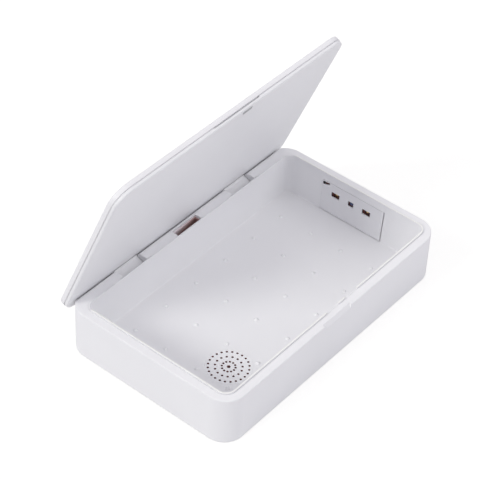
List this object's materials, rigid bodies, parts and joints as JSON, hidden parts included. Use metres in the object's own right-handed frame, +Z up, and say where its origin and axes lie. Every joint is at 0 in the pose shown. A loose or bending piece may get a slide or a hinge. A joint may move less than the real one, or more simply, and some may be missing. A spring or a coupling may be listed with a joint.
{
  "type": "uv sanitizer box for phones",
  "caption": "Shallow white tray box with a hinged lid, ultraviolet end panel, scent grille, bumped floor and start button.",
  "frame": {"origin": "centre of the base's footprint, on the surface the box stands on", "axes": "+X to the end wall with the ultraviolet panel, +Y to the hinge, +Z up"},
  "size_m": [0.22, 0.1434, 0.154],
  "materials": {
    "white_shell": "satin white moulding",
    "white_tray": "satin white moulding",
    "white_cover": "satin white moulding",
    "white_lid": "satin white moulding",
    "white_lid_inner": "satin white moulding",
    "panel_plastic": "satin white moulding",
    "rubber_pad": "matt grey",
    "screw_steel": "plain steel",
    "pin_steel": "plain steel",
    "inlet_steel": "plain steel",
    "magnet_steel": "nickel plated",
    "felt": "felt",
    "board_dark": "dark circuit board",
    "board_green": "green circuit board",
    "led_yellow": "yellow diode window",
    "sensor_blue": "dark blue sensor window",
    "lead_jacket": "flat flexible lead",
    "black_plastic": "black moulding",
    "clear_plastic": "frosted clear",
    "button_grey": "satin pale grey",
    "liner_brown": "matt red brown"
  },
  "bodies": {
    "base": {"base_shell": "white_shell", "inner_tray": "white_tray", "bottom_cover": "white_cover", "rubber_feet": "rubber_pad", "cover_screws": "screw_steel", "scent_grille": "white_tray", "scent_cup": "white_cover", "scent_pad": "felt", "uv_panel": "panel_plastic", "uv_led_board": "board_dark", "uv_leds": "led_yellow", "light_sensor": "sensor_blue", "main_board": "board_green", "usb_inlet": "inlet_steel", "led_lead": "lead_jacket", "button_board": "board_green", "button_switch": "black_plastic", "status_light": "clear_plastic", "slot_liner": "liner_brown", "lid_sensor": "black_plastic", "strike_plate": "magnet_steel", "hinge_pins": "pin_steel"},
    "lid": {"hinge_arm_left": "white_lid_inner", "hinge_arm_right": "white_lid_inner", "lid_shell": "white_lid", "lid_inner_panel": "white_lid_inner", "catch_magnet": "magnet_steel", "sensor_magnet": "magnet_steel"},
    "button": {"start_button": "button_grey"}
  },
  "joints": [
    {"name": "lid_hinge", "type": "hinge", "parent": "base", "child": "lid", "pos_m": [0, 0.0596, 0.0309], "axis": [-1, 0, 0], "range_deg": [-68.63, 0]},
    {"name": "button_press", "type": "slide", "parent": "base", "child": "button", "axis": [-1, 0, 0], "range_m": [0, 0.0004], "stiffness_N_per_m": 1500}
  ]
}
